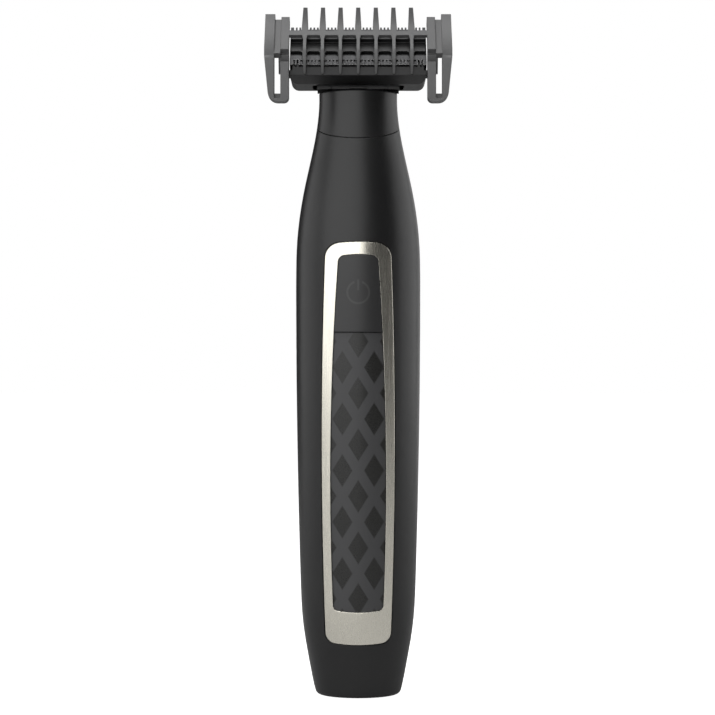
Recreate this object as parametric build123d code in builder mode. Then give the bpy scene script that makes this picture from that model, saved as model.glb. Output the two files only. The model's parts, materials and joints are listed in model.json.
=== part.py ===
from build123d import *
import os
from math import cos, pi, radians, sin, tan

# Body groomer: a slim upright handle, a rocking blade head on its neck and a clip-on guide comb.
# Origin at the centre of the flat base, +Z up the handle, the front faces -Y.

# Handle
handle_height = 146.8
handle_width = 30.34
handle_depth = 25.2
neck_width = 19.08
neck_depth = 15.6
hip_drop = 46.8  # widest place of the handle, below the neck's top edge
neck_drop = 1.9  # where the neck becomes straight, below its top edge
width_taper = 2.15  # each side loses this from the hip to the base
depth_taper = 1.8
width_toe = 3.0  # further loss at the rounded foot
depth_toe = 2.6
toe_height = 24.0
toe_power = 1.76
shoulder_power = 1.36
section_step = 7.0
wall = 1.8
floor_wall = 2.2
rim_lift = 0.3  # the shells' rim stays above the base face
foot_edge = 1.3
rim_edge = 0.4
seam_back = 2.0  # the shells part behind the middle
tongue = 0.8
fit = 0.05
seat = 0.02

# Collar
seam_drop = 8.3  # collar seam at the sides, below the neck's top edge
seam_tilt = 22.0
seam_gap = 0.14
spigot = 4.0

# Window in the front: trim ring, button and grip panel
window_drop = 37.6  # ring's top corners below the neck's top edge
window_foot = 14.2
ring_top = 7.8  # half widths
ring_mid = 8.71
ring_foot = 7.75
ring_bow = 0.62
ring_top_radius = 3.6
ring_foot_radius = 2.6
band_top = 2.8
band_foot = 7.7
opening_top = 4.75  # half widths
opening_mid = 6.6
opening_foot = 6.0
opening_bow = 0.5
opening_top_radius = 1.6
opening_foot_radius = 1.3
shadow_gap = 0.2
ring_proud = 0.25
pocket_depth = 1.2
pad_wall = 1.2
panel_sink = 0.1
panel_gap = 0.12
button_length = 18.0
button_proud = 0.55
button_plate = 0.8
button_gap = 0.15
button_travel = 0.8
button_leg = 1.0
button_hook = 0.5
plunger_radius = 1.2

# Base and charging socket
cap_width = 15.6
cap_depth = 11.8
cap_gap = 0.1
cap_flange = 0.6
cap_flange_height = 1.0
socket_width = 8.94
socket_height = 3.26
socket_radius = 1.2
socket_wall = 0.25
socket_length = 7.4
socket_lift = 0.5
socket_gap = 0.1
socket_back = 2.5
seal_height = 1.0

# Inside
battery_radius = 7.0
battery_length = 50.0
battery_foot = 24.0
battery_back = 1.8
rib_height = 2.0
rib_gap = 0.3
tab_thickness = 0.15
tab_width = 4.0
board_width = 14.0
board_foot = 60.0
board_drop = 31.8  # top of the board below the neck's top edge
board_thickness = 1.0
board_face = 7.9  # front face of the board, in front of the middle
switch_drop = 49.8
switch_size = 5.0
switch_depth = 1.3
led_drop = 56.4
led_radius = 0.9
motor_radius = 6.0
motor_length = 24.0
motor_drop = 26.8  # top of the motor below the neck's top edge
motor_boss = 2.2
motor_screw_spacing = 8.4
shaft_radius = 0.75
throw = 0.5
throw_pin = 0.5
eccentric_radius = 1.8
eccentric_height = 2.6
rail_width = 1.4
rail_depth = 4.0
rail_place = 9.2
screw_radius = 1.0
screw_head = 1.9
screw_head_height = 1.2
screw_sink = 0.5
screw_length = 9.0
screw_boss = 2.3
case_screw_foot = 16.4
case_screw_drop = 63.8
small_screw = 0.6
small_head = 1.1
small_head_height = 0.6

# Drive lever
lever_drop = 10.4  # lever pivot below the neck's top edge
lower_arm = 8.0
upper_arm = 16.0
lever_depth = 3.6
lever_neck = 1.6
lever_pin_radius = 0.8
lever_eye = 2.2
tine = 1.2
lever_tip = 0.8
post_depth = 1.3
post_gap = 0.3
post_width = 5.0

# Head bearing and cradle
rock_lift = 1.2  # rocking axis above the neck's top edge
rock_angle = 5.0
bearing_drop = 0.5
bearing_height = 3.0
bearing_fit = 0.15
lug_place = 4.4
lug_width = 1.6
lug_radius = 1.65
rock_pin = 0.6
ear_width = 1.4
ear_radius = 1.2
ear_gap = 0.15
cradle_width = 22.0
cradle_depth = 8.4
cradle_plate = 1.4
cradle_lift = 1.9
apron_depth = 0.8
apron_width = 20.0
apron_gap = 0.5
knob_place = 6.8
knob_radius = 0.35
knob_reach = 0.3
bridge_half = 2.0

# Blade head, in its own slanted plane
head_width = 32.8
blade_elevation = 38.0
blade_front = 7.0
blade_lift = 10.55  # middle of the blade above the neck's top edge
blade_reach = 6.5  # from the middle to the tooth tips
blade_thickness = 0.3
blade_gap = 0.05
tooth_pitch = 0.852
tooth_count = 38
tooth_slot = 0.42
tooth_length = 1.7
cutter_reach = 6.1
stroke = 1.0
frame_reach = 5.7
frame_wall = 1.4
frame_lift = 1.4  # flat underside above the neck's top edge
frame_corner = 1.9
lip_front = 10.5
lip_lift = 3.0
lip_height = 1.9
cover_reach = 2.6
cover_height = 0.7
ridge_height = 1.2
ridge_width = 1.3
ridge_place = 0.4
pad_height = 3.0
pad_radius = 0.7
pad_bar = 1.2

# Guide comb
comb_pitch = 4.27
comb_ribs = 7
comb_face = 3.0  # outer face above the blade
comb_thickness = 1.3
comb_tip = 10.8
comb_bend = -4.3
rib_tip_width = 0.9
rib_root_width = 1.55
rib_waist_width = 0.8
rib_end_width = 0.45
rib_root = 3.2
rib_end_lift = 3.25
bar_low = 0.55
bar_high = 2.2
bar_thickness = 0.9
rib_waist = -0.8
comb_gap = 0.15
wall_strip = 2.0
web_strip = 1.5
arm_strip = 2.4
wall_top = 6.9
web_top = 6.4
arm_top = 7.9
web_step = 0.4
arm_depth = 3.0
arm_thickness = 2.4
web_thickness = 1.6
clip_drop = 3.6  # lowest point of the clips below the neck's top edge
clip_slot_drop = 1.5
clip_arm_lift = 6.0
clip_outer_radius = 2.4
clip_inner_radius = 1.2
clip_slant = 1.1
clip_proud = 0.5
clip_ledge = 0.8
clip_ledge_drop = 1.5
clip_recess = 1.3
back_wall_face = 2.3
back_wall_depth = 1.6
hook_reach = 0.5
hook_size = 1.4
hook_lift = 3.5

neck_top = handle_height
board_length = neck_top - board_drop - board_foot
hip_height = neck_top - hip_drop
straight = neck_top - neck_drop
seam_height = neck_top - seam_drop
window_top = neck_top - window_drop
opening_high = window_top - band_top
opening_low = window_foot + band_foot
button_foot = opening_high - button_length
motor_top = neck_top - motor_drop
lever_height = neck_top - lever_drop
fork_height = lever_height - lower_arm
tip_height = lever_height + upper_arm
rock_height = neck_top + rock_lift
cradle_top = rock_height + cradle_lift + cradle_plate
head_half = head_width / 2
nose_y = -cos(radians(blade_elevation))
nose_z = sin(radians(blade_elevation))
blade_height = neck_top + blade_lift


# Half size of the handle at a height: a soft shoulder above the hip, a taper and a toe below it.
def half_size(z, hip, neck, taper, toe):
    if z > hip_height:
        rise = min((z - hip_height) / (straight - hip_height), 1)
        return hip - (hip - neck) * (1 - cos(pi * rise**shoulder_power)) / 2
    down = (hip_height - z) / hip_height
    near_foot = max(1 - z / toe_height, 0)
    return hip - taper * down**2 - toe * near_foot**toe_power


def half_width(z):
    return half_size(z, handle_width / 2, neck_width / 2, width_taper, width_toe)


def half_depth(z):
    return half_size(z, handle_depth / 2, neck_depth / 2, depth_taper, depth_toe)


# The handle's form between two heights, grown or shrunk by the same amount all round.
def handle_form(grow, low, high):
    steps = 1 + round((high - low) / section_step)
    with BuildPart() as form:
        for i in range(steps + 1):
            z = low + (high - low) * i / steps
            with BuildSketch(Plane.XY.offset(z)):
                Ellipse(half_width(z) + grow, half_depth(z) + grow)
        loft()
    return form.part


# A prism through the front with four bowed sides and rounded corners.
def window_prism(grow, top, foot, half_top, half_mid, half_foot, bow, top_radius, foot_radius):
    middle = (top + foot) / 2
    high, low = top + grow, foot - grow
    a, b, c = half_top + grow, half_mid + grow, half_foot + grow
    with BuildPart() as prism:
        with BuildSketch(Plane.XZ) as outline:
            with BuildLine():
                ThreePointArc((a, high), (b, middle), (c, low))
                ThreePointArc((c, low), (0, low - bow), (-c, low))
                ThreePointArc((-c, low), (-b, middle), (-a, high))
                ThreePointArc((-a, high), (0, high + bow), (a, high))
            make_face()
            fillet(outline.vertices().group_by(Axis.Y)[-1], top_radius + grow)
            fillet(outline.vertices().group_by(Axis.Y)[0], foot_radius + grow)
        extrude(amount=handle_depth)
    return prism.part


def ring_prism(grow):
    return window_prism(
        grow, window_top, window_foot, ring_top, ring_mid, ring_foot, ring_bow,
        ring_top_radius, ring_foot_radius,
    )


def opening_prism(grow):
    return window_prism(
        grow, opening_high, opening_low, opening_top, opening_mid, opening_foot, opening_bow,
        opening_top_radius, opening_foot_radius,
    )


# The part of a form that lies between two offsets, in the stretch of the window.
skin_low = window_foot - 3
skin_high = window_top + 3


def window_skin(outer, inner):
    outside = handle_form(outer, skin_low, skin_high)
    inside = handle_form(inner, skin_low - 1, skin_high + 1)
    with BuildPart() as skin:
        add(outside)
        add(inside, mode=Mode.SUBTRACT)
        split(bisect_by=Plane.XZ, keep=Keep.TOP)
    return skin.part


# A point of the slanted blade plane as (y, z): along it and out of it.
def on_blade(along, out):
    return (-blade_front + along * nose_z + out * nose_y, blade_height - along * nose_y + out * nose_z)


# A prism with the given side view, from one place across the width to another.
def side_prism(points, start, width):
    with BuildPart() as prism:
        with BuildSketch(Plane.YZ.offset(start)):
            with BuildLine():
                Polyline(*points, close=True)
            make_face()
        extrude(amount=width)
    return prism.part


def save(piece, name):
    piece.label = name
    export_step(piece, f"parts/{name}.step")


os.makedirs("parts", exist_ok=True)

seam_plane = Plane(origin=(0, 0, seam_height), z_dir=(0, -sin(radians(seam_tilt)), cos(radians(seam_tilt))))
parting = Plane.XZ.offset(-seam_back)
blade_plane = Plane(origin=(0, -blade_front, blade_height), x_dir=(1, 0, 0), z_dir=(0, nose_y, nose_z))

# Case screws stand on the middle line and pass from the window's floor into bosses of the rear shell.
case_screw_heights = (case_screw_foot, neck_top - case_screw_drop)
screw_seats = [half_depth(z) - pocket_depth - screw_sink for z in case_screw_heights]
screw_meet = 5.0  # where front and rear bosses meet, in front of the middle

# ---------------------------------------------------------------- handle shells
outer_form = handle_form(0, rim_lift, neck_top)
inner_form = handle_form(-wall, rim_lift + floor_wall, neck_top + 1)
ring_pocket = ring_prism(shadow_gap)

with BuildPart() as hull:
    add(outer_form)
    fillet(hull.edges().group_by(Axis.Z)[0], foot_edge)
    fillet(hull.edges().group_by(Axis.Z)[-1], rim_edge)
    add(inner_form, mode=Mode.SUBTRACT)

pocket_skin = window_skin(1.5, -pocket_depth)
pad_skin = window_skin(-pocket_depth, -pocket_depth - pad_wall)
pad_prism = ring_prism(shadow_gap + pad_wall)

with BuildPart() as pocket:
    add(ring_pocket)
    add(pocket_skin, mode=Mode.INTERSECT)
with BuildPart() as pad:
    add(pad_prism)
    add(pad_skin, mode=Mode.INTERSECT)

# Floor opening that takes the base cap.
with BuildPart() as cap_hole:
    with BuildSketch():
        Ellipse(cap_width / 2, cap_depth / 2)
    extrude(amount=rim_lift + floor_wall + 1)

# Legs of the button stand at two heights and pass the window's floor.
leg_heights = [button_foot + button_length * share for share in (0.2, 0.8)]
leg_slot = button_leg + 2 * button_hook + 2 * panel_gap
plunger_height = neck_top - switch_drop
plunger_seat = half_depth(plunger_height) - pocket_depth

with BuildPart() as front_shell:
    add(hull.part)
    split(bisect_by=parting, keep=Keep.TOP)
    split(bisect_by=seam_plane.offset(-seam_gap / 2), keep=Keep.BOTTOM)
    add(pad.part)
    add(pocket.part, mode=Mode.SUBTRACT)
    add(cap_hole.part, mode=Mode.SUBTRACT)
    for z, face in zip(case_screw_heights, screw_seats):
        with BuildSketch(Plane.XZ.offset(screw_meet)):
            with Locations((0, z)):
                Circle(screw_boss)
        extrude(amount=face - pad_wall / 2 - screw_meet)
        with BuildSketch(Plane.XZ.offset(screw_meet)):
            with Locations((0, z)):
                Circle(screw_radius + fit)
        extrude(amount=face + 2, mode=Mode.SUBTRACT)
        with BuildSketch(Plane.XZ.offset(face - screw_head_height)):
            with Locations((0, z)):
                Circle(screw_head + 0.1)
        extrude(amount=screw_head_height + 2, mode=Mode.SUBTRACT)
    for z in leg_heights:
        with BuildSketch(Plane.XZ):
            with Locations((0, z)):
                Rectangle(2 * button_leg + 2 * panel_gap, leg_slot)
        extrude(amount=handle_depth / 2, mode=Mode.SUBTRACT)
    with BuildSketch(Plane.XZ):
        with Locations((0, plunger_height)):
            Circle(plunger_radius + 2 * panel_gap)
    extrude(amount=handle_depth / 2, mode=Mode.SUBTRACT)
save(front_shell.part, "front_shell")

tongue_low = rim_lift + floor_wall + cap_flange_height + 1.0
tongue_high = seam_height - spigot - 4
tongue_outer = handle_form(-wall - fit, tongue_low, tongue_high)
tongue_inner = handle_form(-wall - fit - tongue, tongue_low - 1, tongue_high + 1)
tongue_root = handle_form(-wall + 0.2, tongue_low, tongue_high)
with BuildPart() as lip:
    add(tongue_outer)
    add(tongue_inner, mode=Mode.SUBTRACT)
    split(bisect_by=parting.offset(1.4), keep=Keep.BOTTOM)
    split(bisect_by=parting.offset(-1.0), keep=Keep.TOP)
with BuildPart() as lip_root:
    add(tongue_root)
    add(tongue_inner, mode=Mode.SUBTRACT)
    split(bisect_by=parting.offset(-0.1), keep=Keep.BOTTOM)
    split(bisect_by=parting.offset(-1.0), keep=Keep.TOP)

with BuildPart() as rear_shell:
    add(hull.part)
    split(bisect_by=parting, keep=Keep.BOTTOM)
    split(bisect_by=seam_plane.offset(-seam_gap / 2), keep=Keep.BOTTOM)
    add(cap_hole.part, mode=Mode.SUBTRACT)
    for z in case_screw_heights:
        with BuildSketch(Plane.XZ.offset(-half_depth(z) + wall / 2)):
            with Locations((0, z)):
                Circle(screw_boss)
        extrude(amount=half_depth(z) - wall / 2 + screw_meet - seat)
    add(lip.part)
    add(lip_root.part)
    for z, face in zip(case_screw_heights, screw_seats):
        with BuildSketch(Plane.XZ.offset(face - screw_head_height - screw_length - 0.5)):
            with Locations((0, z)):
                Circle(screw_radius + seat)
        extrude(amount=screw_length + 0.5, mode=Mode.SUBTRACT)
save(rear_shell.part, "rear_shell")

with BuildPart() as case_screws:
    for z, face in zip(case_screw_heights, screw_seats):
        with BuildSketch(Plane.XZ.offset(face - screw_head_height)):
            with Locations((0, z)):
                Circle(screw_head)
        extrude(amount=screw_head_height)
        with BuildSketch(Plane.XZ.offset(face - screw_head_height - screw_length)):
            with Locations((0, z)):
                Circle(screw_radius)
        extrude(amount=screw_length)
        with BuildSketch(Plane.XZ.offset(face)):
            with Locations((0, z)):
                RegularPolygon(screw_head / 2, 6)
        extrude(amount=-screw_head_height / 2, mode=Mode.SUBTRACT)
save(case_screws.part, "case_screws")

# ---------------------------------------------------------------- collar
spigot_outer = handle_form(-wall - fit, seam_height - spigot - 3, seam_height + 6)
spigot_root = handle_form(-wall + 0.2, seam_height - spigot - 3, seam_height + 6)
spigot_inner = handle_form(-wall - fit - tongue, seam_height - spigot - 4, seam_height + 7)
with BuildPart() as skirt:
    add(spigot_outer)
    add(spigot_inner, mode=Mode.SUBTRACT)
    split(bisect_by=seam_plane.offset(-spigot / 2 - 1), keep=Keep.TOP)
    split(bisect_by=seam_plane.offset(1.0), keep=Keep.BOTTOM)
with BuildPart() as skirt_root:
    add(spigot_root)
    add(spigot_inner, mode=Mode.SUBTRACT)
    split(bisect_by=seam_plane.offset(seam_gap), keep=Keep.TOP)
    split(bisect_by=seam_plane.offset(1.0), keep=Keep.BOTTOM)
with BuildPart() as neck_collar:
    add(hull.part)
    split(bisect_by=seam_plane.offset(seam_gap / 2), keep=Keep.TOP)
    add(skirt.part)
    add(skirt_root.part)
save(neck_collar.part, "neck_collar")

# ---------------------------------------------------------------- window pieces
ring_skin = window_skin(ring_proud, -pocket_depth + seat)
with BuildPart() as trim_ring:
    add(ring_prism(0))
    add(opening_prism(0), mode=Mode.SUBTRACT)
    add(ring_skin, mode=Mode.INTERSECT)
save(trim_ring.part, "trim_ring")

panel_skin = window_skin(-panel_sink, -pocket_depth + seat)
with BuildPart() as grip_panel:
    add(opening_prism(-panel_gap))
    add(panel_skin, mode=Mode.INTERSECT)
    split(bisect_by=Plane.XY.offset(button_foot - button_gap), keep=Keep.BOTTOM)
save(grip_panel.part, "grip_panel")

button_skin = window_skin(button_proud, button_proud - button_plate)
with BuildPart() as power_button:
    add(opening_prism(-button_gap))
    add(button_skin, mode=Mode.INTERSECT)
    split(bisect_by=Plane.XY.offset(button_foot), keep=Keep.TOP)
    for z in leg_heights:
        back = half_depth(z) - pocket_depth - pad_wall - fit
        with BuildSketch(Plane.XZ.offset(back - button_hook)):
            with Locations((0, z)):
                Rectangle(2 * button_leg, button_leg)
        extrude(amount=pad_wall + pocket_depth + button_hook + fit)
        with BuildSketch(Plane.XZ.offset(back - button_hook)):
            with Locations((0, z + button_hook)):
                Rectangle(2 * button_leg, button_leg)
        extrude(amount=button_hook)
    with BuildSketch(Plane.XZ.offset(board_face + switch_depth + 0.6)):
        with Locations((0, plunger_height)):
            Circle(plunger_radius)
    extrude(amount=half_depth(plunger_height) - board_face - switch_depth - 0.6)
save(power_button.part, "power_button")

# ---------------------------------------------------------------- base and socket
socket_plane = Plane(origin=(0, socket_back, 0))
with BuildPart() as base_cap:
    with BuildSketch():
        Ellipse(cap_width / 2 - cap_gap, cap_depth / 2 - cap_gap)
    extrude(amount=rim_lift + floor_wall + seat)
    chamfer(base_cap.edges().group_by(Axis.Z)[0], 0.3)
    with BuildSketch(Plane.XY.offset(rim_lift + floor_wall + seat)):
        Ellipse(cap_width / 2 + cap_flange, cap_depth / 2 + cap_flange)
    extrude(amount=cap_flange_height)
    with BuildSketch(socket_plane):
        RectangleRounded(
            socket_width + 2 * socket_gap, socket_height + 2 * socket_gap, socket_radius + socket_gap
        )
    extrude(amount=20, mode=Mode.SUBTRACT)
save(base_cap.part, "base_cap")

with BuildPart() as usb_socket:
    with BuildSketch(socket_plane.offset(socket_lift)):
        RectangleRounded(socket_width, socket_height, socket_radius)
        RectangleRounded(
            socket_width - 2 * socket_wall,
            socket_height - 2 * socket_wall,
            socket_radius - socket_wall,
            mode=Mode.SUBTRACT,
        )
    extrude(amount=socket_length)
    with BuildSketch(socket_plane.offset(socket_lift + socket_length)):
        RectangleRounded(socket_width, socket_height, socket_radius)
    extrude(amount=1.0)
save(usb_socket.part, "usb_socket")

with BuildPart() as socket_tongue:
    with BuildSketch(socket_plane.offset(socket_lift + 1.2)):
        Rectangle(socket_width - 2.2, 0.7)
    extrude(amount=socket_length - 1.2 - seat)
save(socket_tongue.part, "socket_tongue")

seal_foot = rim_lift + floor_wall + seat + cap_flange_height + seat
with BuildPart() as socket_seal:
    with BuildSketch(socket_plane.offset(seal_foot)):
        RectangleRounded(socket_width + 3, socket_height + 3, socket_radius + 1.5)
        RectangleRounded(
            socket_width + 2 * seat, socket_height + 2 * seat, socket_radius + seat, mode=Mode.SUBTRACT
        )
    extrude(amount=seal_height)
save(socket_seal.part, "socket_seal")

# ---------------------------------------------------------------- chassis
chassis_form = handle_form(-wall - fit - tongue - rib_gap, rim_lift + floor_wall + 1, seam_height - 1)
battery_top = battery_foot + battery_length
tie_height = neck_top - case_screw_drop
cradle_foot = battery_foot - 2.0
post_face = lever_depth / 2 + post_gap

with BuildPart() as chassis:
    for z in (cradle_foot - rib_height, battery_top + 1.0, motor_top + seat):
        with BuildSketch(Plane.XY.offset(z)):
            Rectangle(handle_width, handle_depth)
        extrude(amount=rib_height)
    with Locations((rail_place + rail_width / 2, 0, cradle_foot), (-rail_place - rail_width / 2, 0, cradle_foot)):
        Box(
            rail_width, rail_depth, motor_top + rib_height / 2 - cradle_foot,
            align=(Align.CENTER, Align.CENTER, Align.MIN),
        )
    for side in (-1, 1):
        with Locations((0, side * (post_face + post_depth / 2), motor_top + rib_height)):
            Box(
                post_width, post_depth, lever_height + lever_eye - motor_top - rib_height,
                align=(Align.CENTER, Align.CENTER, Align.MIN),
            )
    add(chassis_form, mode=Mode.INTERSECT)
    with Locations((0, -handle_depth / 2 - board_face + board_thickness + seat, 0)):
        Box(handle_width, handle_depth, 3 * handle_height, mode=Mode.SUBTRACT)
    with BuildSketch(Plane.XY.offset(motor_top)):
        Circle(motor_boss + 0.2)
        with GridLocations(motor_screw_spacing, 0, 2, 1):
            Circle(small_screw + fit)
    extrude(amount=rib_height * 2, mode=Mode.SUBTRACT)
    with BuildSketch(Plane.XZ.offset(-handle_depth / 2)):
        with Locations((0, lever_height)):
            Circle(lever_pin_radius + seat)
        for z in case_screw_heights:
            with Locations((0, z)):
                Circle(screw_boss + 0.3)
    extrude(amount=handle_depth, mode=Mode.SUBTRACT)
save(chassis.part, "chassis")

# ---------------------------------------------------------------- battery and electronics
with BuildPart() as battery_cell:
    with BuildSketch(Plane.XY.offset(battery_foot)):
        with Locations((0, battery_back)):
            Circle(battery_radius)
    extrude(amount=battery_length - 1.0)
    fillet(battery_cell.edges().filter_by(GeomType.CIRCLE), 0.6)
    with BuildSketch(Plane.XY.offset(battery_foot + battery_length - 1.0)):
        with Locations((0, battery_back)):
            Circle(2.8)
    extrude(amount=0.7)
save(battery_cell.part, "battery_cell")

tab_front = board_face - board_thickness - seat
with BuildPart() as battery_tabs:
    for z in (battery_foot - seat - tab_thickness, battery_top - 0.3 + seat):
        with Locations((0, (battery_back - tab_front) / 2, z)):
            Box(
                tab_width, tab_front + battery_back, tab_thickness,
                align=(Align.CENTER, Align.CENTER, Align.MIN),
            )
    with Locations((0, -tab_front, battery_foot - seat - tab_thickness)):
        Box(
            tab_width, tab_thickness, board_foot + 4 - battery_foot,
            align=(Align.CENTER, Align.MIN, Align.MIN),
        )
save(battery_tabs.part, "battery_tabs")

board_screw_heights = (battery_top + 1.0 + rib_height / 2, motor_top - 5.6)
with BuildPart() as circuit_board:
    with BuildSketch(Plane.XZ.offset(board_face - board_thickness)):
        with Locations((0, board_foot + board_length / 2)):
            RectangleRounded(board_width, board_length, 1.0)
        with Locations((0, tie_height)):
            Circle(screw_boss + 0.3, mode=Mode.SUBTRACT)
        with Locations(*[(side * 5.2, board_screw_heights[0]) for side in (-1, 1)]):
            Circle(small_screw + fit, mode=Mode.SUBTRACT)
    extrude(amount=board_thickness)
save(circuit_board.part, "circuit_board")

with BuildPart() as board_screws:
    for side in (-1, 1):
        with BuildSketch(Plane.XZ.offset(board_face + seat)):
            with Locations((side * 5.2, board_screw_heights[0])):
                Circle(small_head)
        extrude(amount=small_head_height)
        with BuildSketch(Plane.XZ.offset(board_face + seat)):
            with Locations((side * 5.2, board_screw_heights[0])):
                Circle(small_screw)
        extrude(amount=-(board_thickness + seat))
save(board_screws.part, "board_screws")

with BuildPart() as power_switch:
    with BuildSketch(Plane.XZ.offset(board_face + seat)):
        with Locations((0, plunger_height)):
            RectangleRounded(switch_size, switch_size, 0.5)
            Circle(plunger_radius + fit, mode=Mode.SUBTRACT)
    extrude(amount=switch_depth)
save(power_switch.part, "power_switch")

with BuildPart() as switch_plunger:
    with BuildSketch(Plane.XZ.offset(board_face + button_travel + 0.1)):
        with Locations((0, plunger_height)):
            Circle(plunger_radius)
    extrude(amount=switch_depth + 0.6 - button_travel - 0.1 - seat)
save(switch_plunger.part, "switch_plunger")

with BuildPart() as charge_led:
    with BuildSketch(Plane.XZ.offset(board_face + seat)):
        with Locations((0, neck_top - led_drop)):
            Circle(led_radius)
    extrude(amount=0.8)
save(charge_led.part, "charge_led")

# ---------------------------------------------------------------- motor and drive
with BuildPart() as motor:
    with BuildSketch(Plane.XY.offset(motor_top - motor_length)):
        Circle(motor_radius)
    extrude(amount=motor_length)
    fillet(motor.edges().filter_by(GeomType.CIRCLE), 0.6)
    with BuildSketch(Plane.XY.offset(motor_top)):
        Circle(motor_boss)
    extrude(amount=1.4)
    with BuildSketch(Plane.XY.offset(motor_top + 1.4)):
        Circle(shaft_radius + fit)
    extrude(amount=-8, mode=Mode.SUBTRACT)
    with BuildSketch(Plane.XY.offset(motor_top)):
        with GridLocations(motor_screw_spacing, 0, 2, 1):
            Circle(small_screw + seat)
    extrude(amount=-3, mode=Mode.SUBTRACT)
save(motor.part, "motor")

with BuildPart() as motor_screws:
    with BuildSketch(Plane.XY.offset(motor_top + rib_height + 2 * seat)):
        with GridLocations(motor_screw_spacing, 0, 2, 1):
            Circle(small_head)
    extrude(amount=small_head_height)
    with BuildSketch(Plane.XY.offset(motor_top + rib_height + 2 * seat)):
        with GridLocations(motor_screw_spacing, 0, 2, 1):
            Circle(small_screw)
    extrude(amount=-(rib_height + 2.5))
save(motor_screws.part, "motor_screws")

with BuildPart() as motor_terminals:
    for side in (-1, 1):
        with Locations((side * 3.0, -tab_front, motor_top - motor_length - 0.5 - seat)):
            Box(1.2, tab_front - 1.5, 0.5, align=(Align.CENTER, Align.MIN, Align.MIN))
save(motor_terminals.part, "motor_terminals")

eccentric_foot = motor_top + rib_height + 0.9
with BuildPart() as eccentric:
    with BuildSketch(Plane.XY.offset(eccentric_foot)):
        Circle(eccentric_radius)
    extrude(amount=eccentric_height)
    with BuildSketch(Plane.XY.offset(eccentric_foot)):
        Circle(shaft_radius)
    extrude(amount=motor_top - 5.0 - eccentric_foot)
    with BuildSketch(Plane.XY.offset(eccentric_foot + eccentric_height)):
        with Locations((0, -throw)):
            Circle(throw_pin)
    extrude(amount=fork_height + 1.5 - eccentric_foot - eccentric_height)
save(eccentric.part, "eccentric")

# The fork leaves the pin its whole throw on either side of the lever's own swing.
fork_half = throw_pin + throw + throw + 2 * fit
with BuildPart() as drive_lever:
    with BuildSketch(Plane.XZ.offset(-lever_depth / 2)):
        with Locations((0, lever_height)):
            Circle(lever_eye)
        with BuildLine():
            Polyline(
                (-lever_neck, lever_height),
                (-lever_tip, tip_height - 4),
                (-lever_tip, tip_height),
                (lever_tip, tip_height),
                (lever_tip, tip_height - 4),
                (lever_neck, lever_height),
                close=True,
            )
        make_face()
        with Locations((0, tip_height)):
            Circle(lever_tip)
        with Locations((0, lever_height - lever_eye)):
            Rectangle(2 * (fork_half + tine), 2.4)
        for side in (-1, 1):
            with Locations((side * (fork_half + tine / 2), (lever_height - lever_eye + fork_height - 1.5) / 2)):
                Rectangle(tine, lever_height - lever_eye - fork_height + 1.5)
        with Locations((0, lever_height)):
            Circle(lever_pin_radius + fit, mode=Mode.SUBTRACT)
    extrude(amount=lever_depth)
    with Locations((0, lever_depth / 2 + 1.2, tip_height), (0, -lever_depth / 2 - 1.2, tip_height)):
        Box(10, lever_depth, 2 * (upper_arm - lever_eye - 3), mode=Mode.SUBTRACT)
save(drive_lever.part, "drive_lever")

with BuildPart() as lever_pin:
    with BuildSketch(Plane.XZ.offset(-post_face - post_depth)):
        with Locations((0, lever_height)):
            Circle(lever_pin_radius)
    extrude(amount=2 * (post_face + post_depth))
save(lever_pin.part, "lever_pin")

# ---------------------------------------------------------------- head bearing and cradle
bearing_top = neck_top - bearing_drop
lever_room = lever_tip + stroke + 0.5
plug_form = handle_form(-wall - bearing_fit, bearing_top - bearing_height, bearing_top)
with BuildPart() as neck_bearing:
    add(plug_form)
    with BuildSketch(Plane.XY.offset(bearing_top - bearing_height - 1)):
        RectangleRounded(2 * lever_room, lever_depth + 1.2, 0.8)
    extrude(amount=bearing_height + 5, mode=Mode.SUBTRACT)
    for side in (-1, 1):
        with BuildSketch(Plane.YZ.offset(side * (lug_place + lug_width / 2) - lug_width / 2)):
            with Locations((0, rock_height)):
                Circle(lug_radius)
            with Locations((0, (rock_height + bearing_top) / 2)):
                Rectangle(2 * lug_radius, rock_height - bearing_top)
            with Locations((0, rock_height)):
                Circle(rock_pin + fit, mode=Mode.SUBTRACT)
        extrude(amount=lug_width)
save(neck_bearing.part, "neck_bearing")

ear_place = lug_place + lug_width + ear_gap
with BuildPart() as head_cradle:
    with BuildSketch(Plane.XY.offset(rock_height + cradle_lift)):
        RectangleRounded(cradle_width, cradle_depth, 1.2)
        RectangleRounded(2 * lever_room, lever_depth + 0.6, 0.8, mode=Mode.SUBTRACT)
    extrude(amount=cradle_plate)
    for side in (-1, 1):
        with BuildSketch(Plane.YZ.offset(side * (ear_place + ear_width / 2) - ear_width / 2)):
            with Locations((0, rock_height)):
                Circle(ear_radius)
            with Locations((0, rock_height + (cradle_lift + cradle_plate / 2) / 2)):
                Rectangle(2 * ear_radius, cradle_lift + cradle_plate / 2)
            with Locations((0, rock_height)):
                Circle(rock_pin + seat, mode=Mode.SUBTRACT)
        extrude(amount=ear_width)
    apron_foot = neck_top + apron_gap
    apron_face = cradle_depth / 2 - apron_depth
    for face in (-apron_face, cradle_depth / 2):
        with BuildSketch(Plane.XZ.offset(face - apron_depth)):
            with Locations((0, apron_foot)):
                Rectangle(
                    apron_width, rock_height + cradle_lift + 0.5 - apron_foot, align=(Align.CENTER, Align.MIN)
                )
        extrude(amount=apron_depth)
    with BuildSketch(Plane.XZ.offset(apron_face - 0.1)):
        with Locations((-knob_place, apron_foot + knob_radius), (knob_place, apron_foot + knob_radius)):
            Circle(knob_radius)
        with Locations((0, apron_foot + knob_radius)):
            SlotOverall(2 * bridge_half, 2 * knob_radius * 0.7)
    extrude(amount=apron_depth + 0.1 + knob_reach)
save(head_cradle.part, "head_cradle")

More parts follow.
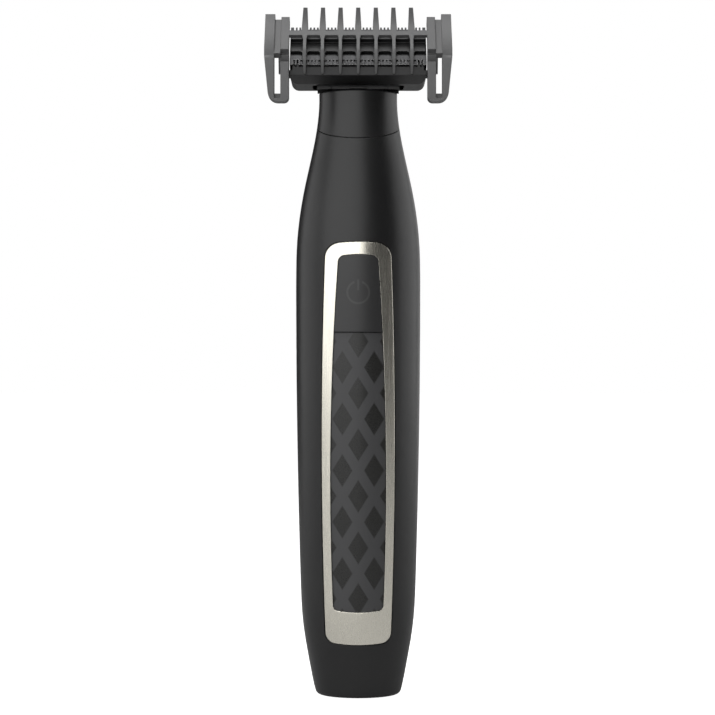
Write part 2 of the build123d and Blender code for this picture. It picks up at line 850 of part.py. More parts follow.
with BuildPart() as pivot_pins:
    for side in (-1, 1):
        middle = side * (lug_place - 0.2 + ear_place + ear_width) / 2
        length = ear_place + ear_width - lug_place + 0.2
        with BuildSketch(Plane.YZ.offset(middle - length / 2)):
            with Locations((0, rock_height)):
                Circle(rock_pin)
        extrude(amount=length)
save(pivot_pins.part, "pivot_pins")

# ---------------------------------------------------------------- blade head
frame_foot = neck_top + frame_lift
lip_foot = neck_top + lip_lift
frame_top = -blade_thickness - blade_gap - blade_thickness - 0.15
back_high = on_blade(frame_reach, frame_top)
back_foot = (cradle_depth / 2 + frame_wall, frame_foot)
back_mid = (back_foot[0] - 0.6, (2 * frame_foot + back_high[1]) / 3 + 1.6)


# The head between two side walls: lip in front, slanted top at some depth under the guard, round back.
def head_block(top, start, width):
    with BuildPart() as block:
        with BuildSketch(Plane.YZ.offset(start)):
            with BuildLine():
                Polyline(
                    back_foot,
                    (-lip_front + 4.0, frame_foot),
                    (-lip_front, lip_foot),
                    (-lip_front, lip_foot + lip_height),
                    on_blade(-frame_reach, top),
                    on_blade(frame_reach, top),
                )
                ThreePointArc(on_blade(frame_reach, top), back_mid, back_foot)
            make_face()
        extrude(amount=width)
    return block.part


end_wall = frame_wall - 0.3
frame_block = head_block(frame_top, -head_half, head_width)
frame_ends = [
    head_block(-blade_thickness - seat, -head_half, end_wall),
    head_block(-blade_thickness - seat, head_half - end_wall, end_wall),
]
with BuildPart() as front_outline:
    with BuildSketch(Plane.XZ.offset(-30)) as corner_view:
        with Locations((0, frame_foot)):
            Rectangle(head_width, 30, align=(Align.CENTER, Align.MIN))
        fillet(corner_view.vertices().group_by(Axis.Y)[0], frame_corner)
    extrude(amount=60)

frame_hollow = side_prism(
    (
        on_blade(-frame_reach + frame_wall, 1),
        on_blade(-frame_reach + frame_wall, frame_top),
        (-lip_front + 3.2, cradle_top + 0.2),
        (back_foot[0] - frame_wall - 0.9, cradle_top + 0.2),
        (back_mid[0] - frame_wall - 0.3, back_mid[1]),
        on_blade(frame_reach - 1.6 * frame_wall, frame_top),
        on_blade(frame_reach - 1.6 * frame_wall, 1),
    ),
    -head_half + frame_wall,
    head_width - 2 * frame_wall,
)
hook_height = neck_top + hook_lift
hook_y = -lip_front + 2.2
with BuildPart() as head_frame:
    add(frame_block)
    add(frame_ends)
    add(front_outline.part, mode=Mode.INTERSECT)
    add(frame_hollow, mode=Mode.SUBTRACT)
    with BuildSketch(Plane.XY.offset(frame_foot - 1)):
        RectangleRounded(cradle_width + 0.2, cradle_depth + 0.2, 1.3)
    extrude(amount=cradle_top - frame_foot + 1.25, mode=Mode.SUBTRACT)
    for side in (-1, 1):
        with BuildSketch(Plane.YZ.offset(side * (head_half - hook_reach / 2) - hook_reach / 2 - 0.1)):
            with Locations((hook_y + 8 * nose_y, hook_height + 8 * nose_z)):
                Rectangle(17.6, hook_size + 0.3, rotation=-blade_elevation)
        extrude(amount=hook_reach + 0.2, mode=Mode.SUBTRACT)
save(head_frame.part, "head_frame")

# Steel guard with comb-like teeth on both long edges, and the same on the moving cutter below it.
with BuildPart() as guard_plate:
    with BuildSketch(blade_plane):
        Rectangle(head_width - 0.2, 2 * blade_reach)
        for side in (-1, 1):
            with Locations((0, side * (blade_reach - tooth_length / 2 + 0.2))):
                with GridLocations(tooth_pitch, 0, tooth_count - 1, 1):
                    Rectangle(tooth_slot, tooth_length + 0.4, mode=Mode.SUBTRACT)
    extrude(amount=-blade_thickness)
save(guard_plate.part, "guard_plate")

cutter_half = head_half - frame_wall + 0.3 - stroke - 0.15
cutter_teeth = 2 * int(cutter_half / tooth_pitch)
with BuildPart() as cutter:
    with BuildSketch(blade_plane.offset(-blade_thickness - blade_gap)):
        Rectangle(2 * cutter_half, 2 * cutter_reach)
        for side in (-1, 1):
            with Locations((0, side * (cutter_reach - tooth_length / 2 + 0.2))):
                with GridLocations(tooth_pitch, 0, cutter_teeth, 1):
                    Rectangle(tooth_slot, tooth_length + 0.4, mode=Mode.SUBTRACT)
    extrude(amount=-blade_thickness)
save(cutter.part, "cutter")

carrier_top = -2 * blade_thickness - blade_gap - seat
with BuildPart() as cutter_carrier:
    with BuildSketch(Plane.YZ):
        with BuildLine():
            Polyline(
                on_blade(-2.6, carrier_top),
                on_blade(2.6, carrier_top),
                on_blade(2.2, carrier_top - 1.6),
                (1.0, tip_height + 2.2),
                (1.9, tip_height + 1.4),
                (1.9, tip_height - 0.6),
                (-2.3, tip_height - 0.6),
                (-2.3, tip_height + 1.0),
                on_blade(-2.2, carrier_top - 1.6),
                close=True,
            )
        make_face()
    extrude(amount=lever_tip + 1.6, both=True)
    with BuildSketch(blade_plane.offset(carrier_top)):
        RectangleRounded(20, 5.2, 0.8)
    extrude(amount=-1.2)
    with BuildSketch(Plane.XZ.offset(-6)):
        with Locations((0, tip_height + 0.4)):
            Rectangle(2 * (lever_tip + fit), 3.2)
    extrude(amount=12, mode=Mode.SUBTRACT)
save(cutter_carrier.part, "cutter_carrier")

# Dark plastic cover over the middle of the guard, with rounded windows for the steel pads.
with BuildPart() as centre_cover:
    with BuildSketch(blade_plane.offset(seat)):
        Rectangle(head_width - 0.4, 2 * (cover_reach + pad_height))
        for side in (-1, 1):
            with Locations((0, side * (cover_reach + pad_height / 2 + pad_radius / 2))):
                with GridLocations(comb_pitch, 0, comb_ribs + 1, 1):
                    RectangleRounded(
                        comb_pitch - pad_bar, pad_height + pad_radius, pad_radius, mode=Mode.SUBTRACT
                    )
    extrude(amount=cover_height)
    with BuildSketch(blade_plane.offset(seat)):
        with Locations((0, ridge_place)):
            Rectangle(head_width - 0.4, ridge_width)
    extrude(amount=ridge_height)
save(centre_cover.part, "centre_cover")

# ---------------------------------------------------------------- guide comb
clip_foot = neck_top - clip_drop
arm_face = on_blade(comb_bend, comb_face)[0]
bend_height = on_blade(comb_bend, comb_face)[1]
comb_half = head_half + comb_gap + wall_strip + web_strip + arm_strip
inner_x = head_half + comb_gap
rib_end_height = neck_top + rib_end_lift


# A slanted bar of the comb that ends square at both ends.
def slanted_bar(low, high, face, thickness, start, width):
    return side_prism(
        (
            on_blade(low, face), on_blade(high, face),
            on_blade(high, face - thickness), on_blade(low, face - thickness),
        ),
        start,
        width,
    )


with BuildPart() as rib_side:
    with BuildSketch(Plane.YZ):
        with BuildLine():
            Polyline(
                on_blade(comb_bend, comb_face),
                on_blade(comb_tip - 0.6, comb_face),
                on_blade(comb_tip, comb_face - 0.5),
                on_blade(comb_tip, comb_face - 0.9),
                on_blade(comb_tip - 0.6, comb_face - comb_thickness),
                on_blade(comb_bend + 0.3, comb_face - comb_thickness),
                (arm_face + 0.75, rib_end_height + 2.4),
                (arm_face + 1.15, rib_end_height + 0.3),
                (arm_face + 0.9, rib_end_height),
            )
            ThreePointArc(
                (arm_face + 0.9, rib_end_height),
                (arm_face - 0.25, (rib_end_height + bend_height) / 2 + 0.6),
                on_blade(comb_bend, comb_face),
            )
        make_face()
    extrude(amount=comb_half, both=True)

rib_tip_height = on_blade(comb_tip, comb_face)[1] + 0.5
rib_root_height = on_blade(rib_root, comb_face)[1]
rib_waist_height = on_blade(rib_waist, comb_face)[1]
with BuildPart() as rib_fronts:
    with BuildSketch(Plane.XZ.offset(-4)):
        with GridLocations(comb_pitch, 0, comb_ribs, 1):
            Polygon(
                (-rib_tip_width / 2, rib_tip_height),
                (-rib_root_width / 2, rib_root_height),
                (-rib_root_width / 2, rib_root_height - 1.6),
                (-rib_waist_width / 2, rib_waist_height),
                (-rib_waist_width / 2, rib_end_height + 2.6),
                (-rib_end_width / 2, rib_end_height - 0.2),
                (rib_end_width / 2, rib_end_height - 0.2),
                (rib_waist_width / 2, rib_end_height + 2.6),
                (rib_waist_width / 2, rib_waist_height),
                (rib_root_width / 2, rib_root_height - 1.6),
                (rib_root_width / 2, rib_root_height),
                (rib_tip_width / 2, rib_tip_height),
                align=None,
            )
    extrude(amount=20)

wall_x = inner_x + wall_strip
web_x = wall_x + web_strip
clip_face = arm_face - clip_proud
clip_back = arm_face + arm_depth
slot_foot = neck_top - clip_slot_drop
inner_top = clip_foot + clip_arm_lift + clip_drop
ledge_top = bend_height - clip_ledge_drop


# One upright stretch of a clip arm; its front steps forward under a sloping ledge.
def clip_bar(foot, ledge, top, start, width):
    return side_prism(
        (
            (clip_face, foot),
            (clip_face, ledge - clip_ledge),
            (arm_face, ledge),
            (arm_face, top),
            (clip_back, top - 0.01),
            (clip_back, foot),
        ),
        start,
        width,
    )


clip_bars = []
for near, width, foot, ledge, top in (
    (web_x, arm_strip, clip_foot, ledge_top, bend_height),
    (wall_x - 0.1, web_strip + 0.2, clip_foot, slot_foot, slot_foot + 0.01),
    (inner_x, wall_strip, clip_foot, inner_top, inner_top + 0.01),
):
    clip_bars.append(clip_bar(foot, ledge, top, near, width))
    clip_bars.append(clip_bar(foot, ledge, top, -near - width, width))
back_walls = [
    side_prism(
        (
            (arm_face + back_wall_face, inner_top - 2.5),
            on_blade(comb_bend - 0.6, 1.6),
            on_blade(comb_bend + 2.4, 1.2),
            on_blade(comb_bend + 2.4, 0.4),
            (arm_face + back_wall_face + back_wall_depth, bend_height - 1.5),
            (arm_face + back_wall_face + back_wall_depth, inner_top - 2.5),
        ),
        start,
        wall_strip + 0.5,
    )
    for start in (inner_x, -inner_x - wall_strip - 0.5)
]

with BuildPart() as clip_view:
    for side in (-1, 1):
        with BuildSketch(Plane.XZ.offset(-20)):
            with BuildLine():
                FilletPolyline(
                    (side * inner_x, bend_height + 20),
                    (side * comb_half, bend_height + 20),
                    (side * comb_half, bend_height - 1.5),
                    (side * (comb_half - clip_slant), clip_foot),
                    (side * inner_x, clip_foot),
                    radius=[0.5, 0.5, 4.0, clip_outer_radius, clip_inner_radius],
                    close=True,
                )
            make_face()
        extrude(amount=40)

with BuildPart() as clips:
    add(clip_bars)
    add(back_walls)
    for side in (-1, 1):
        with BuildSketch(Plane.XZ.offset(-clip_face - clip_recess)):
            with Locations((side * (wall_x + web_strip / 2), slot_foot)):
                RectangleRounded(web_strip, 2 * clip_recess, 0.4)
        extrude(amount=4, mode=Mode.SUBTRACT)
    add(clip_view.part, mode=Mode.INTERSECT)

comb_bars = [slanted_bar(bar_low, bar_high, comb_face, bar_thickness, -wall_x, 2 * wall_x)]
for near, width, high, low, face, depth in (
    (inner_x, wall_strip, wall_top, comb_bend, comb_face, arm_thickness),
    (wall_x, web_strip, web_top, comb_bend - 1.0, comb_face - web_step, web_thickness),
    (web_x, arm_strip, arm_top, comb_bend, comb_face, arm_thickness),
):
    comb_bars.append(slanted_bar(low, high, face, depth, near, width))
    comb_bars.append(slanted_bar(low, high, face, depth, -near - width, width))

with BuildPart() as hooks:
    for side in (-1, 1):
        with BuildSketch(Plane.YZ.offset(side * (inner_x + 0.15 - hook_reach / 2) - hook_reach / 2 - 0.15)):
            with Locations((hook_y, hook_height)):
                Rectangle(hook_size, hook_size, rotation=-blade_elevation)
        extrude(amount=hook_reach + 0.3)

with BuildPart() as guide_comb:
    add(rib_side.part)
    add(rib_fronts.part, mode=Mode.INTERSECT)
    add(comb_bars)
    add(clips.part)
    add(hooks.part)
save(guide_comb.part, "guide_comb")
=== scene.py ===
import json
import math

import bpy
import bmesh
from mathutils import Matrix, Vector


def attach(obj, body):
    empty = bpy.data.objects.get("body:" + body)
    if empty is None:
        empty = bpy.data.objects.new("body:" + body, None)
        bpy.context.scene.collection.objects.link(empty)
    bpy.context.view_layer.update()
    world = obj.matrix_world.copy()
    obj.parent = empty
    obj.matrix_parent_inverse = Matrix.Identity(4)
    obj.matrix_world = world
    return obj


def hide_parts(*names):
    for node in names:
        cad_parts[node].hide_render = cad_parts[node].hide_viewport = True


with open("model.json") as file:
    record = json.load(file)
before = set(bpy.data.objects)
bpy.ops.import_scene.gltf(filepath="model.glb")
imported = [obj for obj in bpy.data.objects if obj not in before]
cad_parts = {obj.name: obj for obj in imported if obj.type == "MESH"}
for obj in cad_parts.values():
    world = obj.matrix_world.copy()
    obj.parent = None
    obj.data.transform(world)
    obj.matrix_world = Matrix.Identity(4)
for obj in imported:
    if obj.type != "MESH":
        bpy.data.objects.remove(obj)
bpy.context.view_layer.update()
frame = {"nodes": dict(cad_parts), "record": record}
nodes = frame["nodes"]
bodyOf = {node: body for body, members in frame["record"]["behaviour"]["bodies"].items() for node in members}
slotOf = {part["node"]: part["material_slot"] for part in frame["record"]["subparts"]}
print("frame loaded:", len(nodes), "nodes")

scene = bpy.context.scene
scene.view_settings.view_transform = "Standard"


# Shared shader groups
def startGroup(name, inputs, outputs):
    tree = bpy.data.node_groups.new(name, "ShaderNodeTree")
    for label, kind, value in inputs:
        socket = tree.interface.new_socket(name=label, in_out="INPUT", socket_type="NodeSocket" + kind)
        if value is not None:
            socket.default_value = value
    for label, kind in outputs:
        tree.interface.new_socket(name=label, in_out="OUTPUT", socket_type="NodeSocket" + kind)
    return tree, tree.nodes.new("NodeGroupInput"), tree.nodes.new("NodeGroupOutput")


def mathNode(tree, operation, first, second=None, clamp=False):
    node = tree.nodes.new("ShaderNodeMath")
    node.operation = operation
    node.use_clamp = clamp
    for index, value in enumerate((first, second)):
        if value is None:
            continue
        if isinstance(value, (int, float)):
            node.inputs[index].default_value = value
        else:
            tree.links.new(value, node.inputs[index])
    return node.outputs[0]


def noiseNode(tree, vector, scale, detail=3.0):
    node = tree.nodes.new("ShaderNodeTexNoise")
    if isinstance(scale, (int, float)):
        node.inputs["Scale"].default_value = scale
    else:
        tree.links.new(scale, node.inputs["Scale"])
    node.inputs["Detail"].default_value = detail
    tree.links.new(vector, node.inputs["Vector"])
    return node.outputs["Fac"]


def mixColor(tree, factor, first, second):
    node = tree.nodes.new("ShaderNodeMix")
    node.data_type = "RGBA"
    tree.links.new(factor, node.inputs["Factor"])
    for name, value in (("A", first), ("B", second)):
        socket = [s for s in node.inputs if s.name == name and s.type == "RGBA"][0]
        if isinstance(value, (tuple, list)):
            socket.default_value = value
        else:
            tree.links.new(value, socket)
    return [s for s in node.outputs if s.type == "RGBA"][0]


def edgeMask(tree, radius):
    # bright where the surface turns within the radius
    bevel = tree.nodes.new("ShaderNodeBevel")
    bevel.samples = 4
    bevel.inputs["Radius"].default_value = radius
    geometry = tree.nodes.new("ShaderNodeNewGeometry")
    dot = tree.nodes.new("ShaderNodeVectorMath")
    dot.operation = "DOT_PRODUCT"
    tree.links.new(bevel.outputs["Normal"], dot.inputs[0])
    tree.links.new(geometry.outputs["Normal"], dot.inputs[1])
    turn = mathNode(tree, "SUBTRACT", 1.0, dot.outputs["Value"])
    return mathNode(tree, "MULTIPLY", turn, 4.0, clamp=True), bevel.outputs["Normal"]


def makeMouldedGroup():
    tree, start, end = startGroup(
        "mouldedPlastic",
        [("Base Color", "Color", (0.02, 0.02, 0.02, 1)), ("Worn Color", "Color", (0.06, 0.06, 0.06, 1)),
         ("Grain Scale", "Float", 2600.0), ("Grain Depth", "Float", 0.15), ("Roughness", "Float", 0.35),
         ("Variation", "Float", 0.08), ("Wear", "Float", 0.4)],
        [("Base Color", "Color"), ("Roughness", "Float"), ("Normal", "Vector")])
    coordinates = tree.nodes.new("ShaderNodeTexCoord").outputs["Object"]
    fine = noiseNode(tree, coordinates, start.outputs["Grain Scale"], 2.0)
    broad = noiseNode(tree, coordinates, 90.0, 4.0)
    mask, rounded = edgeMask(tree, 0.00025)
    patchy = mathNode(tree, "MULTIPLY", mask, noiseNode(tree, coordinates, 700.0, 5.0))
    worn = mathNode(tree, "MULTIPLY", patchy, start.outputs["Wear"], clamp=True)
    colored = mixColor(tree, worn, start.outputs["Base Color"], start.outputs["Worn Color"])
    tree.links.new(colored, end.inputs["Base Color"])
    drift = mathNode(tree, "MULTIPLY", mathNode(tree, "SUBTRACT", broad, 0.5), start.outputs["Variation"])
    speck = mathNode(tree, "MULTIPLY", mathNode(tree, "SUBTRACT", fine, 0.5), 0.1)
    total = mathNode(tree, "ADD", mathNode(tree, "ADD", start.outputs["Roughness"], drift), speck, clamp=True)
    tree.links.new(total, end.inputs["Roughness"])
    bump = tree.nodes.new("ShaderNodeBump")
    bump.inputs["Distance"].default_value = 0.00002
    tree.links.new(start.outputs["Grain Depth"], bump.inputs["Strength"])
    tree.links.new(fine, bump.inputs["Height"])
    tree.links.new(rounded, bump.inputs["Normal"])
    tree.links.new(bump.outputs["Normal"], end.inputs["Normal"])
    return tree


def makeBrushedGroup():
    tree, start, end = startGroup(
        "brushedMetal",
        [("Vector", "Vector", None), ("Base Color", "Color", (0.6, 0.6, 0.6, 1)),
         ("Dark Color", "Color", (0.4, 0.4, 0.4, 1)),
         ("Roughness", "Float", 0.25), ("Brush Depth", "Float", 0.2), ("Brush Scale", "Float", 9000.0),
         ("Painted Glint Strength", "Float", 0.5)],
        [("Base Color", "Color"), ("Roughness", "Float"), ("Normal", "Vector")])
    streak = noiseNode(tree, start.outputs["Vector"], start.outputs["Brush Scale"], 2.0)
    broad = noiseNode(tree, start.outputs["Vector"], 1400.0, 3.0)
    tone = mathNode(tree, "MULTIPLY", mathNode(tree, "ADD", streak, broad), 0.5)
    rough = mathNode(tree, "MULTIPLY", mathNode(tree, "SUBTRACT", streak, 0.5), 0.22)
    total = mathNode(tree, "ADD", start.outputs["Roughness"], rough, clamp=True)
    tree.links.new(total, end.inputs["Roughness"])
    # painted highlight: edges are mixed toward near-white in the base colour, standing in for light caught on
    # rounded metal edges
    edge, rounded = edgeMask(tree, 0.00015)
    paintedEdgeGlint = mathNode(tree, "MULTIPLY", edge, start.outputs["Painted Glint Strength"], clamp=True)
    streaked = mixColor(tree, tone, start.outputs["Base Color"], start.outputs["Dark Color"])
    tree.links.new(mixColor(tree, paintedEdgeGlint, streaked, (0.9, 0.9, 0.88, 1)), end.inputs["Base Color"])
    bump = tree.nodes.new("ShaderNodeBump")
    bump.inputs["Distance"].default_value = 0.00001
    tree.links.new(start.outputs["Brush Depth"], bump.inputs["Strength"])
    tree.links.new(streak, bump.inputs["Height"])
    tree.links.new(rounded, bump.inputs["Normal"])
    tree.links.new(bump.outputs["Normal"], end.inputs["Normal"])
    return tree


mouldedGroup = makeMouldedGroup()
brushedGroup = makeBrushedGroup()


def newMaterial(name):
    material = bpy.data.materials.new(name)
    material.use_nodes = True
    return material, material.node_tree, material.node_tree.nodes["Principled BSDF"]


def moulded(settings):
    material, tree, shader = newMaterial(settings["name"])
    group = tree.nodes.new("ShaderNodeGroup")
    group.node_tree = mouldedGroup
    group.inputs["Base Color"].default_value = (*settings["color"], 1)
    group.inputs["Worn Color"].default_value = (*settings["worn"], 1)
    for label, key in (
        ("Grain Scale", "grain"), ("Grain Depth", "depth"), ("Roughness", "roughness"), ("Wear", "wear"),
    ):
        group.inputs[label].default_value = settings[key]
    for label in ("Base Color", "Roughness", "Normal"):
        tree.links.new(group.outputs[label], shader.inputs[label])
    return material, tree, shader, group


def brushed(settings):
    material, tree, shader = newMaterial(settings["name"])
    group = tree.nodes.new("ShaderNodeGroup")
    group.node_tree = brushedGroup
    mapping = tree.nodes.new("ShaderNodeMapping")
    mapping.inputs["Scale"].default_value = settings["stretch"]
    tree.links.new(tree.nodes.new("ShaderNodeTexCoord").outputs["Object"], mapping.inputs["Vector"])
    tree.links.new(mapping.outputs["Vector"], group.inputs["Vector"])
    group.inputs["Base Color"].default_value = (*settings["color"], 1)
    group.inputs["Dark Color"].default_value = (*settings["dark"], 1)
    group.inputs["Roughness"].default_value = settings["roughness"]
    group.inputs["Brush Depth"].default_value = settings["depth"]
    group.inputs["Brush Scale"].default_value = settings["scale"]
    for label in ("Base Color", "Roughness", "Normal"):
        tree.links.new(group.outputs[label], shader.inputs[label])
    shader.inputs["Metallic"].default_value = 1.0
    return material


finishes = {}
for plastic in (
    {"name": "body", "color": (0.0065, 0.0065, 0.0068), "worn": (0.04, 0.04, 0.04),
     "grain": 5200.0, "depth": 0.12, "roughness": 0.36, "wear": 0.3},
    {"name": "comb", "color": (0.092, 0.092, 0.093), "worn": (0.20, 0.20, 0.20),
     "grain": 4200.0, "depth": 0.10, "roughness": 0.40, "wear": 0.8},
    {"name": "head", "color": (0.007, 0.007, 0.0072), "worn": (0.05, 0.05, 0.05),
     "grain": 4200.0, "depth": 0.12, "roughness": 0.42, "wear": 0.5},
    {"name": "inner_plastic", "color": (0.05, 0.05, 0.052), "worn": (0.09, 0.09, 0.09),
     "grain": 3000.0, "depth": 0.2, "roughness": 0.5, "wear": 0.3},
    {"name": "rubber", "color": (0.018, 0.018, 0.018), "worn": (0.03, 0.03, 0.03),
     "grain": 2400.0, "depth": 0.3, "roughness": 0.7, "wear": 0.2},
    {"name": "battery", "color": (0.03, 0.12, 0.28), "worn": (0.06, 0.16, 0.32),
     "grain": 1500.0, "depth": 0.1, "roughness": 0.4, "wear": 0.2},
    {"name": "board", "color": (0.01, 0.10, 0.04), "worn": (0.25, 0.2, 0.06),
     "grain": 2000.0, "depth": 0.2, "roughness": 0.45, "wear": 0.8},
    {"name": "led", "color": (0.75, 0.78, 0.75), "worn": (0.9, 0.9, 0.9),
     "grain": 1200.0, "depth": 0.05, "roughness": 0.2, "wear": 0.1},
):
    finishes[plastic["name"]] = moulded(plastic)[0]
for metal in (
    {"name": "steel", "color": (0.075, 0.075, 0.077), "dark": (0.03, 0.03, 0.031),
     "roughness": 0.34, "depth": 0.3, "scale": 6000.0, "stretch": (1, 0.06, 0.06)},
    {"name": "nickel", "color": (0.62, 0.60, 0.55), "dark": (0.46, 0.44, 0.40),
     "roughness": 0.28, "depth": 0.2, "scale": 5000.0, "stretch": (1, 1, 0.1)},
    {"name": "brass", "color": (0.72, 0.52, 0.20), "dark": (0.5, 0.35, 0.12),
     "roughness": 0.3, "depth": 0.2, "scale": 5000.0, "stretch": (1, 1, 0.1)},
    {"name": "trim", "color": (0.82, 0.79, 0.70), "dark": (0.74, 0.71, 0.625),
     "roughness": 0.25, "depth": 0.07, "scale": 7000.0, "stretch": (1, 1, 0.012)},
):
    finishes[metal["name"]] = brushed(metal)
finishes["blade"] = finishes["steel"]
print("shared finishes made")


# Grip panel: matt moulding with plain glossy lozenges in staggered rows
def makePanel():
    panel = {"name": "panel", "color": (0.046, 0.046, 0.048), "worn": (0.07, 0.07, 0.07),
                 "grain": 6000.0, "depth": 0.1,
             "roughness": 0.42, "wear": 0.1, "pitchX": 0.0076, "pitchZ": 0.0123, "half": 0.34,
             "gloss": (0.013, 0.013, 0.012), "cellsBefore": 20.0, "edge": 24.0, "glossChange": -0.14}
    material, tree, shader, group = moulded(panel)
    split = tree.nodes.new("ShaderNodeSeparateXYZ")
    tree.links.new(tree.nodes.new("ShaderNodeTexCoord").outputs["Object"], split.inputs[0])
    lozenges = []
    for shift in (0.0, 0.5):
        reach = []
        for axis, pitch in (("X", panel["pitchX"]), ("Z", panel["pitchZ"])):
            cells = mathNode(tree, "DIVIDE", split.outputs[axis], pitch)
            cell = mathNode(tree, "FRACT", mathNode(tree, "ADD", cells, panel["cellsBefore"] + shift))
            reach.append(mathNode(tree, "ABSOLUTE", mathNode(tree, "SUBTRACT", cell, 0.5)))
        total = mathNode(tree, "ADD", reach[0], reach[1])
        inside = mathNode(tree, "SUBTRACT", panel["half"], total)
        lozenges.append(mathNode(tree, "MULTIPLY", inside, panel["edge"], clamp=True))
    shape = mathNode(tree, "MAXIMUM", lozenges[0], lozenges[1])
    patterned = mixColor(tree, shape, group.outputs["Base Color"], (*panel["gloss"], 1))
    tree.links.new(patterned, shader.inputs["Base Color"])
    smooth = mathNode(tree, "MULTIPLY", shape, panel["glossChange"])
    tree.links.new(mathNode(tree, "ADD", group.outputs["Roughness"], smooth), shader.inputs["Roughness"])
    return material


# Power button: satin moulding with a faint moulded ring and bar
def makeButton():
    button = {"name": "button", "color": (0.022, 0.022, 0.0225), "worn": (0.08, 0.08, 0.08),
                 "grain": 6000.0, "depth": 0.1,
              "roughness": 0.34, "wear": 0.2, "centreZ": 0.0978, "radius": 0.0026, "line": 0.00024,
              "gap": 0.0009, "barZ": 0.0018, "barHalf": 0.0013, "mark": (0.040, 0.040, 0.040)}
    material, tree, shader, group = moulded(button)
    coordinates = tree.nodes.new("ShaderNodeTexCoord").outputs["Object"]
    split = tree.nodes.new("ShaderNodeSeparateXYZ")
    tree.links.new(coordinates, split.inputs[0])
    side = split.outputs["X"]
    height = mathNode(tree, "SUBTRACT", split.outputs["Z"], button["centreZ"])
    squares = [mathNode(tree, "MULTIPLY", value, value) for value in (side, height)]
    distance = mathNode(tree, "SQRT", mathNode(tree, "ADD", squares[0], squares[1]))
    offRing = mathNode(tree, "ABSOLUTE", mathNode(tree, "SUBTRACT", distance, button["radius"]))
    ring = mathNode(tree, "LESS_THAN", offRing, button["line"])
    inGap = mathNode(tree, "LESS_THAN", mathNode(tree, "ABSOLUTE", side), button["gap"])
    nearTop = mathNode(tree, "MULTIPLY", inGap, mathNode(tree, "GREATER_THAN", height, 0.0))
    openRing = mathNode(tree, "SUBTRACT", ring, nearTop, clamp=True)
    barSide = mathNode(tree, "LESS_THAN", mathNode(tree, "ABSOLUTE", side), button["line"])
    offBar = mathNode(tree, "ABSOLUTE", mathNode(tree, "SUBTRACT", height, button["barZ"]))
    barHigh = mathNode(tree, "LESS_THAN", offBar, button["barHalf"])
    mark = mathNode(tree, "MAXIMUM", openRing, mathNode(tree, "MULTIPLY", barSide, barHigh))
    marked = mixColor(tree, mark, group.outputs["Base Color"], (*button["mark"], 1))
    tree.links.new(marked, shader.inputs["Base Color"])
    return material


finishes["panel"] = makePanel()
finishes["button"] = makeButton()
print("panel and button finishes made")


def dress(node):
    meshMaterials = nodes[node].data.materials
    meshMaterials.clear()
    meshMaterials.append(finishes[slotOf[node]])


for name in nodes:
    dress(name)


mergeDistance = 1e-6  # metres
flatAngle = 0.6  # degrees between faces taken as one


# A finished copy of a CAD node: seams merged, small rounded edges, smooth faces
def refine(settings):
    node = settings["node"]
    mesh = nodes[node].data.copy()
    piece = bpy.data.objects.new(settings["name"], mesh)
    scene.collection.objects.link(piece)
    shape = bmesh.new()
    shape.from_mesh(mesh)
    bmesh.ops.remove_doubles(shape, verts=shape.verts, dist=mergeDistance)
    bmesh.ops.dissolve_limit(
        shape, angle_limit=math.radians(flatAngle), verts=shape.verts, edges=shape.edges, delimit={"NORMAL"})
    bmesh.ops.triangulate(shape, faces=[face for face in shape.faces if len(face.verts) > 4])
    shape.to_mesh(mesh)
    shape.free()
    if mesh.has_custom_normals:
        mesh.attributes.remove(mesh.attributes["custom_normal"])
    mesh.shade_smooth()
    bevel = piece.modifiers.new("edges", "BEVEL")
    bevel.width = settings["bevel"]
    bevel.segments = settings["segments"]
    bevel.limit_method = "ANGLE"
    bevel.angle_limit = math.radians(settings["angle"])
    mesh.set_sharp_from_angle(angle=math.radians(settings["sharp"]))
    piece.data.materials.clear()
    piece.data.materials.append(finishes[slotOf[node]])
    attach(piece, bodyOf[node])
    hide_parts(node)


for pieceSettings in (
    {"node": "guide_comb", "name": "combMoulding", "bevel": 0.00012, "segments": 2, "angle": 40, "sharp": 50},
    {"node": "trim_ring", "name": "metalRing", "bevel": 0.00018, "segments": 2, "angle": 40, "sharp": 50},
    {"node": "guard_plate", "name": "guardSteel", "bevel": 0.00005, "segments": 1, "angle": 40, "sharp": 40},
):
    refine(pieceSettings)
print("refined pieces made")

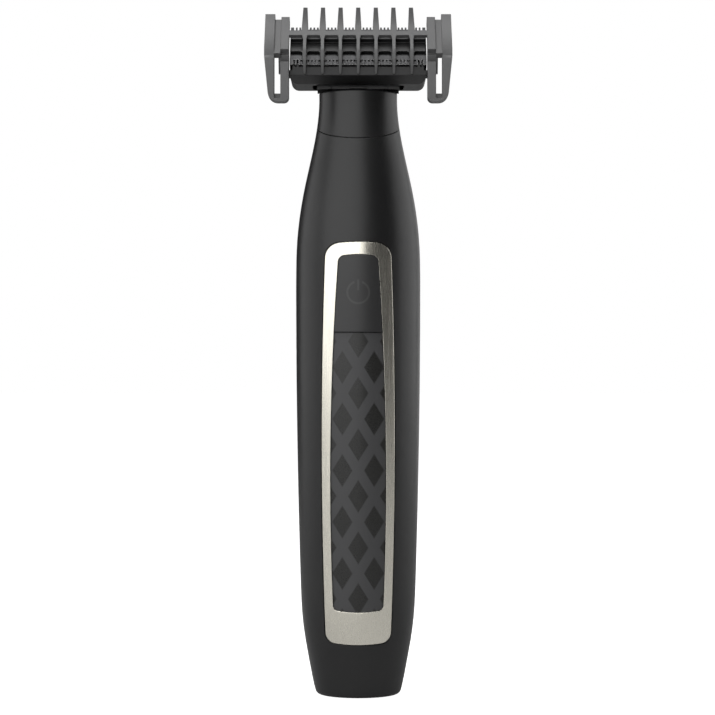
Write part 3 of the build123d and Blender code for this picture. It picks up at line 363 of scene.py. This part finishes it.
# Floor and studio
floorMesh = bpy.data.meshes.new("studioFloor")
floorShape = bmesh.new()
bmesh.ops.create_grid(floorShape, x_segments=2, y_segments=2, size=4.0)
floorShape.to_mesh(floorMesh)
floorShape.free()
floorObject = bpy.data.objects.new("studioFloor", floorMesh)
scene.collection.objects.link(floorObject)
floorMaterial, floorTree, floorShader = newMaterial("paleFloor")
floorShader.inputs["Base Color"].default_value = (0.62, 0.62, 0.62, 1)
floorShader.inputs["Roughness"].default_value = 0.9
floorShader.inputs["Specular IOR Level"].default_value = 0.0
floorShader.inputs["Emission Color"].default_value = (1, 1, 1, 1)
floorPath = floorTree.nodes.new("ShaderNodeLightPath")
floorTree.links.new(floorPath.outputs["Is Camera Ray"], floorShader.inputs["Emission Strength"])
floorMesh.materials.append(floorMaterial)

world = bpy.data.worlds.new("studio")
scene.world = world
world.use_nodes = True
worldTree = world.node_tree
background = worldTree.nodes["Background"]
background.inputs["Color"].default_value = (1, 1, 1, 1)
worldPath = worldTree.nodes.new("ShaderNodeLightPath")
dim = mathNode(worldTree, "MULTIPLY", worldPath.outputs["Is Camera Ray"], 0.96)
worldTree.links.new(mathNode(worldTree, "ADD", dim, 0.04), background.inputs["Strength"])

objectMiddle = Vector((0, 0, 0.085))
for lamp in (
    {"name": "softboxLeft", "place": (-0.41, -0.80, 0.40), "width": 1.35, "height": 0.76, "power": 5.8},
    {"name": "sideLeft", "place": (-0.80, 0.10, 0.14), "width": 0.80, "height": 0.80, "power": 2.4},
    {"name": "sideRight", "place": (0.80, 0.16, 0.14), "width": 0.95, "height": 0.80, "power": 3.4},
    {"name": "backRight", "place": (0.34, 0.60, 0.12), "width": 0.25, "height": 0.70, "power": 0.5},
    {"name": "topFill", "place": (-0.06, -0.22, 0.80), "width": 0.70, "height": 0.45, "power": 3.6},
):
    lampData = bpy.data.lights.new(lamp["name"], "AREA")
    lampData.shape = "RECTANGLE"
    lampData.size = lamp["width"]
    lampData.size_y = lamp["height"]
    lampData.energy = lamp["power"]
    lampObject = bpy.data.objects.new(lamp["name"], lampData)
    scene.collection.objects.link(lampObject)
    lampObject.location = lamp["place"]
    lampObject.rotation_euler = (Vector(lamp["place"]) - objectMiddle).to_track_quat("Z", "Y").to_euler()

cameraPlace = {"distance": 0.480, "height": 0.0823, "side": -0.00017, "lens": 98.9}
cameraData = bpy.data.cameras.new("camera")
cameraData.lens = cameraPlace["lens"]
cameraData.sensor_width = 36
cameraObject = bpy.data.objects.new("camera", cameraData)
scene.collection.objects.link(cameraObject)
cameraObject.location = (cameraPlace["side"], -cameraPlace["distance"], cameraPlace["height"])
cameraObject.rotation_euler = (math.pi / 2, 0, 0)
scene.camera = cameraObject
print("stage made")
